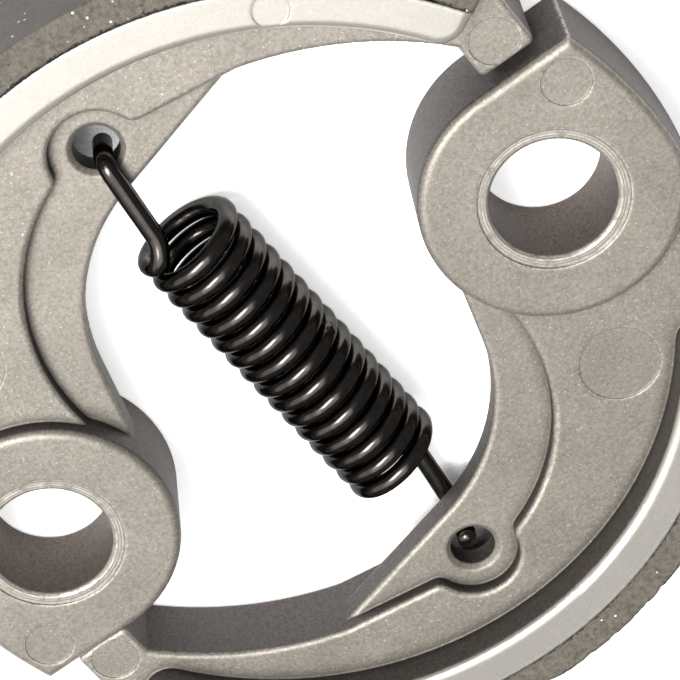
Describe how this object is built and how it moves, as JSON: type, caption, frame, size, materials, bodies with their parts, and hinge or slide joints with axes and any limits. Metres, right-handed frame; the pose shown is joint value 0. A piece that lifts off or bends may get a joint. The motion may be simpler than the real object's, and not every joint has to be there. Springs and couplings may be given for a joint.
{
  "type": "centrifugal clutch",
  "caption": "Centrifugal clutch of a brush cutter: cast C-shaped shoes with pivot bores and bonded friction linings, drawn together by a hooked tension spring until speed throws them out.",
  "frame": {"origin": "clutch axis at the plane of the back faces, midway between the pivot bores", "axes": "+Z along the clutch axis towards the front, +X from the clutch axis to the pivot of shoe B"},
  "size_m": [0.0728, 0.076, 0.0112],
  "materials": {
    "cast_aluminium": "die-cast and shot-blasted, satin, with bright worn edges and machined bores",
    "friction_lining": "pressed friction compound, dry, speckled with fibre and metal grains",
    "spring_steel": "oil-blackened wire with a soft gloss"
  },
  "bodies": {
    "return_spring": {"tension_spring": "spring_steel"},
    "shoe_a": {"shoe_a": "cast_aluminium", "lining_a": "friction_lining"},
    "shoe_b": {"shoe_b": "cast_aluminium", "lining_b": "friction_lining"}
  },
  "joints": [
    {"name": "shoe_a_swing", "type": "hinge", "parent": "return_spring", "child": "shoe_a", "pos_m": [-0.0258, 0, 0], "axis": [0, 0, 1], "range_deg": [0, 3], "stiffness_Nm_per_rad": 5, "deforming": ["tension_spring"]},
    {"name": "shoe_b_swing", "type": "hinge", "parent": "return_spring", "child": "shoe_b", "pos_m": [0.0258, 0, 0], "axis": [0, 0, 1], "range_deg": [0, 3], "stiffness_Nm_per_rad": 5, "deforming": ["tension_spring"]}
  ]
}
